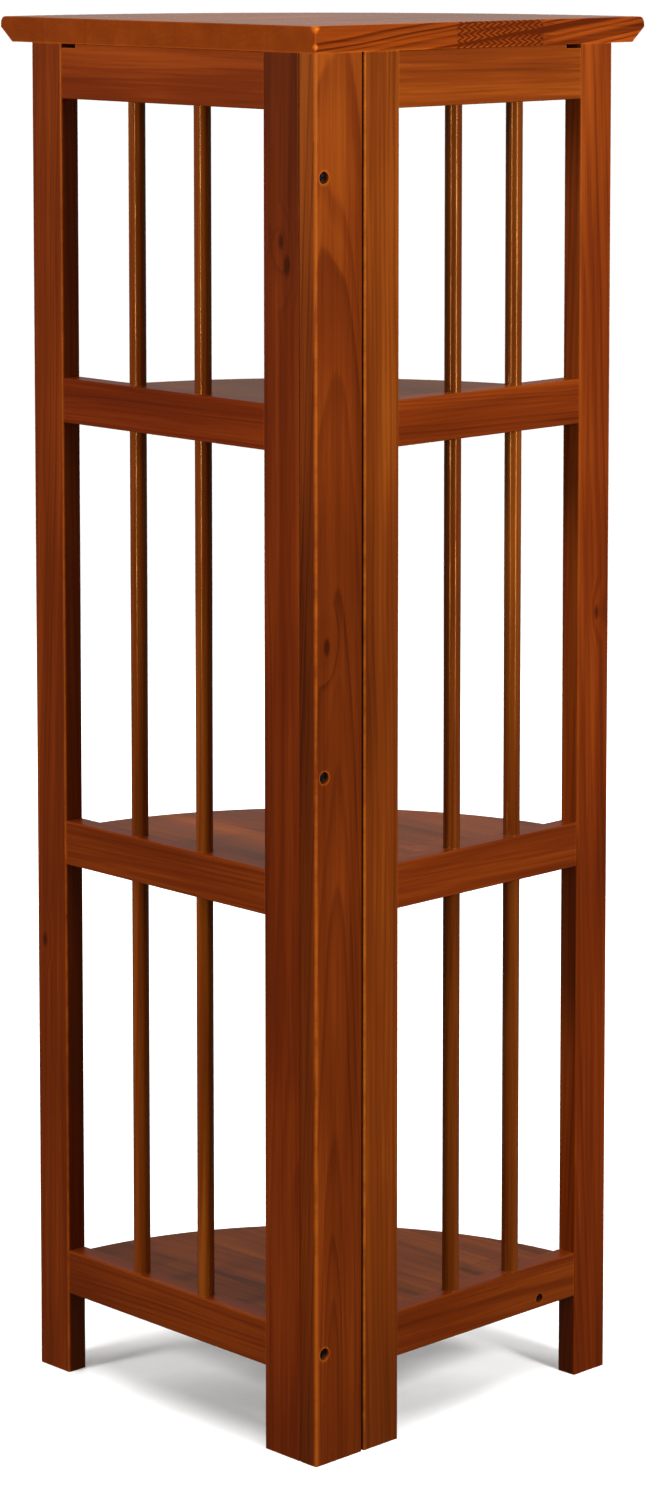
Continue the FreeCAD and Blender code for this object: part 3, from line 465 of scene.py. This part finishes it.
for node, (grain, seed, gain, warm, ring, pith, lean) in STICKS.items():
    dress(
        node,
        wood(
            "pine_" + node,
            node,
            grain,
            seed,
            gain,
            warm,
            ring,
            pith=pith,
            lean=lean,
            knots=KNOTS.get(node, ()),
            run=RUNS.get(node),
            rub=EDGE_WEAR_AND_HIGHLIGHTS.get(node),
            chips=CHIPS.get(node, ()),
            rough=(0.13, 0.19) if "spindles" in node else (0.28, 0.40),
            gloss=0.65 if "spindles" in node else 0.25,
        ),
    )

for i, n in enumerate(("lower", "middle", "upper")):
    dress(
        n + "_shelf",
        wood(
            "panel_" + n,
            n + "_shelf",
            "Y",
            31 + i,
            # the shelves share one finish: partly a spread in the stain, partly painted shade on the lower shelf and
            # painted light on the middle one
            gain=(0.80, 1.30, 1.04)[i],
            warm=1.22,
            ring=0.22,
            ring_w=0.0052,
            pith=(0.035, 0.02),
            lean=0.05,
            boards=(0.0445, 0.31, 0.117 + 0.02 * i, 0.06 - 0.05 * i),
            rough=(0.27, 0.38),
            gloss=0.16,
        ),
    )
dress(
    "top_board",
    wood(
        "panel_top",
        "top_board",
        "X",
        41,
        gain=1.88,
        warm=1.18,
        ring=0.50,
        ring_w=0.0046,
        pith=(0.012, 0.010),
        lean=-0.20,
        boards=(0.0466, 0.34, 0.127, 0.069),
        rough=(0.16, 0.26),
        gloss=0.16,
        calm=0.62,
        comb=(-0.029, 0.058),
        chips=(((-0.163, -0.163, 0.9855), 0.005), ((-0.163, -0.163, 0.972), 0.003)),
    ),
)
for n, grain in (("left_rail_dowels", "Y"), ("right_rail_dowels", "X"), ("top_pegs", "Z")):
    dress(n, wood("beech_" + n, n, grain, 51, ring=0.10, bare=True, rough=(0.5, 0.65)))

steel, black = plated("plated_steel"), blackened("black_screw")
bronze = blackened("bronzed_hinge", warm=True)
for n in nodes:
    if n.startswith("corner_hinge"):
        dress(n, bronze)
    elif "leaves" in n or n.endswith("_pins"):
        dress(n, steel)
    elif "screw" in n:
        dress(n, black if n in ("corner_screws", "lower_rail_screw") else steel)


# ------------------------------------------------------------------ floor, light
def plain_floor():
    t = Tree("floor_paper")
    p = t.place()
    tooth, _ = t.noise(p, 60.0, 3.0, 0.6)
    t.put(
        t.ramp(tooth, [(0.3, (0.93, 0.93, 0.93)), (0.7, (0.96, 0.96, 0.96))]),
        t.shader.inputs["Base Color"],
    )
    t.shader.inputs["Roughness"].default_value = 0.9
    t.shader.inputs["Specular IOR Level"].default_value = 0.05
    mesh = bpy.data.meshes.new("floor")
    s = 60.0
    mesh.from_pydata(
        [(-s, -s, 0), (s, -s, 0), (s, s, 0), (-s, s, 0)], [], [(0, 1, 2, 3)]
    )
    mesh.materials.append(t.material)
    o = bpy.data.objects.new("floor", mesh)
    scene.collection.objects.link(o)
    # the paper throws no light back, so round sticks keep a lit and a dark side
    o.visible_diffuse = o.visible_glossy = o.visible_shadow = False
    return o


plain_floor()

world = bpy.data.worlds.new("studio")
world.use_nodes = True
scene.world = world
sky = world.node_tree.nodes["Background"]
sky.inputs["Color"].default_value = (1.0, 0.95, 0.86, 1.0)
wt = world.node_tree
up = wt.nodes.new("ShaderNodeSeparateXYZ")
wt.links.new(wt.nodes.new("ShaderNodeTexCoord").outputs["Generated"], up.inputs[0])
level = wt.nodes.new("ShaderNodeMapRange")
for i, v in enumerate((-1.0, 1.0, 0.0, 1.0)):
    level.inputs[i + 1].default_value = v
wt.links.new(up.outputs[2], level.inputs[0])
fade = wt.nodes.new("ShaderNodeValToRGB")
BANDS = ((0.0, 0.13), (0.49, 0.13), (0.50, 0.45), (0.60, 0.42), (0.72, 0.10), (1.0, 0.10))
while len(fade.color_ramp.elements) < len(BANDS):
    fade.color_ramp.elements.new(0.5)
for e, (at, v) in zip(fade.color_ramp.elements, BANDS):
    e.position, e.color = at, (v, v, v, 1.0)
wt.links.new(level.outputs[0], fade.inputs["Fac"])
wt.links.new(fade.outputs[0], sky.inputs["Strength"])


def aim(o, target):
    d = Vector(target) - o.location
    o.rotation_mode = "QUATERNION"
    o.rotation_quaternion = d.to_track_quat("-Z", "Y")


def softbox(name, at, target, size, power, spread=180.0):
    light = bpy.data.lights.new(name, "AREA")
    light.shape, light.size, light.energy = "DISK", size, power
    light.spread = math.radians(spread)
    o = bpy.data.objects.new(name, light)
    o.location = at
    o.visible_camera = False
    scene.collection.objects.link(o)
    aim(o, target)
    return o


def strip_light(name, at, target, wide, tall, power):
    """An upright strip that draws a streak on the round sticks."""
    o = softbox(name, at, target, wide, power)
    o.data.shape, o.data.size_y = "RECTANGLE", tall
    return o


sun = bpy.data.lights.new("sky_panel", "SUN")
sun.energy, sun.angle = 3.15, math.radians(50)
sun_o = bpy.data.objects.new("sky_panel", sun)
sun_o.location = (-0.2, -0.3, 3.0)
scene.collection.objects.link(sun_o)
aim(sun_o, (0, 0, 0.2))
softbox("right", (0.05, -2.15, 1.42), (-0.02, -0.16, 0.62), 0.60, 61.0)
softbox("left", (-2.05, 0.42, 1.25), (-0.16, 0.0, 0.60), 0.50, 34.5)
open_side = softbox("open_side", (1.75, 1.85, 1.75), (0.0, 0.0, 0.45), 1.2, 42.0)
open_side.visible_glossy = False
strip_light("right_strip", (-0.05, -2.20, 0.62), (-0.05, -0.16, 0.62), 0.12, 0.9, 11.0)
strip_light("left_strip", (-2.25, -0.68, 0.62), (-0.16, 0.0, 0.62), 0.12, 0.9, 9.0)

# ---------------------------------------------------------------------- camera
cam = bpy.data.cameras.new("camera")
cam.sensor_width = 36.0
cam.lens = 100.936
cam.shift_x, cam.shift_y = -0.0099, -0.29
cam.clip_start, cam.clip_end = 0.05, 200.0
cam_o = bpy.data.objects.new("camera", cam)
scene.collection.objects.link(cam_o)
yaw, pitch = math.radians(44.078), math.radians(-5.7289)
look = Vector(
    (math.sin(yaw) * math.cos(pitch), math.cos(yaw) * math.cos(pitch), math.sin(pitch))
)
cam_o.location = (-2.0926, -2.1767, 1.0737)
cam_o.rotation_mode = "QUATERNION"
cam_o.rotation_quaternion = look.to_track_quat("-Z", "Y")
scene.camera = cam_o
scene.view_settings.view_transform = "Standard"
